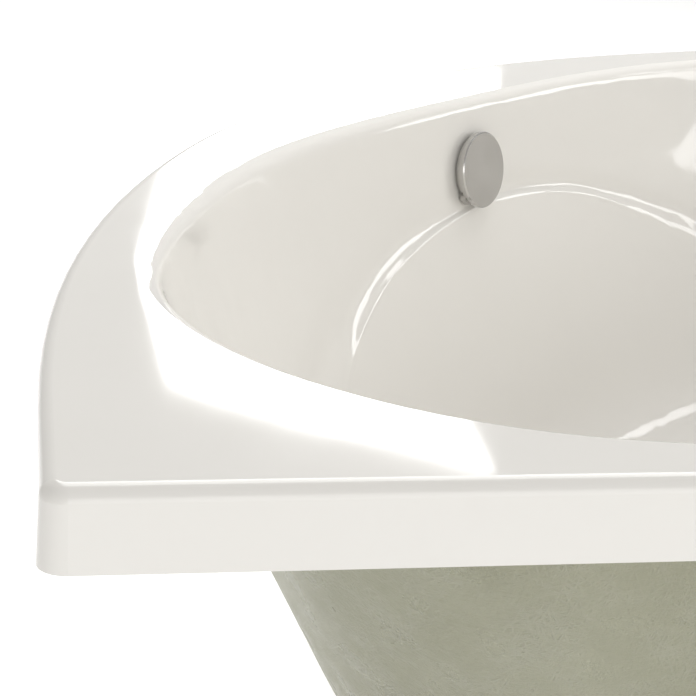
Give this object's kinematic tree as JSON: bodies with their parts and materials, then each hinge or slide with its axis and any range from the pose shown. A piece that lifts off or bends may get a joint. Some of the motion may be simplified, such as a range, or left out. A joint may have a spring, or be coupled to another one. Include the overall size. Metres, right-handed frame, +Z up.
{
  "type": "corner bath",
  "caption": "Corner bath with a curved front, an oval basin across the corner, a round overflow knob that lifts the plug, and a cradle with height-adjustable feet.",
  "frame": {"origin": "middle of the bounding box in plan, on the floor under the feet", "axes": "+Z up; one wall side runs along X on the -Y side, the other along Y on the +X side; the curved front and the overflow knob face -X and +Y"},
  "size_m": [1.35, 1.35, 0.56],
  "materials": {
    "acrylic": "gloss",
    "glass_fibre_laminate": "rough, fibres showing",
    "particle_board": "raw",
    "pine": "raw",
    "zinc_steel": "zinc plated",
    "foot_plastic": "satin",
    "chromed_brass": "satin chrome",
    "stainless_steel": "bright",
    "sealing_rubber": "matt",
    "pipe_plastic": "satin",
    "cable_sheath": "satin"
  },
  "bodies": {
    "bath": {"acrylic_shell": "acrylic", "laminate_backing": "glass_fibre_laminate", "base_board": "particle_board", "cradle_rail_left": "zinc_steel", "cradle_rail_right": "zinc_steel", "rail_screws": "zinc_steel", "foot_nuts": "zinc_steel", "foot_washers": "zinc_steel", "corner_leg_tube": "zinc_steel", "corner_leg_plate": "zinc_steel", "corner_leg_insert": "zinc_steel", "corner_leg_screws": "zinc_steel", "rim_batten_near_wall": "pine", "rim_batten_right_wall": "pine", "rim_corner_board": "particle_board", "rim_front_board": "particle_board", "overflow_collar": "pipe_plastic", "overflow_front_seal": "sealing_rubber", "overflow_rear_seal": "sealing_rubber", "overflow_housing": "pipe_plastic", "pipe_nut_upper": "pipe_plastic", "pipe_nut_lower": "pipe_plastic", "pipe_seal_upper": "sealing_rubber", "pipe_seal_lower": "sealing_rubber", "overflow_pipe": "pipe_plastic", "lift_cable": "cable_sheath", "cable_clips": "pipe_plastic", "waste_flange": "chromed_brass", "waste_top_seal": "sealing_rubber", "waste_under_seal": "sealing_rubber", "waste_body": "pipe_plastic", "rocker_pin": "stainless_steel"},
    "knob": {"overflow_knob": "chromed_brass", "overflow_spindle": "stainless_steel", "overflow_cable_drum": "pipe_plastic", "overflow_grub_screw": "stainless_steel"},
    "plug": {"plug_cap": "chromed_brass", "plug_seal": "sealing_rubber", "plug_stem": "stainless_steel"},
    "rocker": {"lift_rocker": "stainless_steel"},
    "foot_front_left": {"foot_pad_front_left": "foot_plastic", "foot_stud_front_left": "zinc_steel"},
    "foot_front_right": {"foot_pad_front_right": "foot_plastic", "foot_stud_front_right": "zinc_steel"},
    "foot_back_left": {"foot_pad_back_left": "foot_plastic", "foot_stud_back_left": "zinc_steel"},
    "foot_back_right": {"foot_pad_back_right": "foot_plastic", "foot_stud_back_right": "zinc_steel"},
    "foot_corner": {"foot_pad_corner": "foot_plastic", "foot_stud_corner": "zinc_steel"}
  },
  "joints": [
    {"name": "knob_turn", "type": "hinge", "parent": "bath", "child": "knob", "pos_m": [-0.25415, 0.25415, 0.49581], "axis": [0.7002, -0.7002, 0.1392], "range_deg": [0, 90]},
    {"name": "plug_lift", "type": "slide", "parent": "bath", "child": "plug", "axis": [0, 0, 1], "range_m": [0, 0.01]},
    {"name": "rocker_turn", "type": "hinge", "parent": "bath", "child": "rocker", "pos_m": [-0.08061, 0.08061, 0.116], "axis": [-0.7071, -0.7071, 0], "range_deg": [0, 32.26]},
    {"name": "foot_front_left_height", "type": "slide", "parent": "bath", "child": "foot_front_left", "axis": [0, 0, 1], "range_m": [-0.02, 0.012]},
    {"name": "foot_front_right_height", "type": "slide", "parent": "bath", "child": "foot_front_right", "axis": [0, 0, 1], "range_m": [-0.02, 0.012]},
    {"name": "foot_back_left_height", "type": "slide", "parent": "bath", "child": "foot_back_left", "axis": [0, 0, 1], "range_m": [-0.02, 0.012]},
    {"name": "foot_back_right_height", "type": "slide", "parent": "bath", "child": "foot_back_right", "axis": [0, 0, 1], "range_m": [-0.02, 0.012]},
    {"name": "foot_corner_height", "type": "slide", "parent": "bath", "child": "foot_corner", "axis": [0, 0, 1], "range_m": [-0.02, 0.012]}
  ],
  "couplings": [
    {"joint": "plug_lift", "follows": "knob_turn", "m_per_rad": 0.006366},
    {"joint": "rocker_turn", "follows": "knob_turn", "ratio": 0.35839}
  ]
}
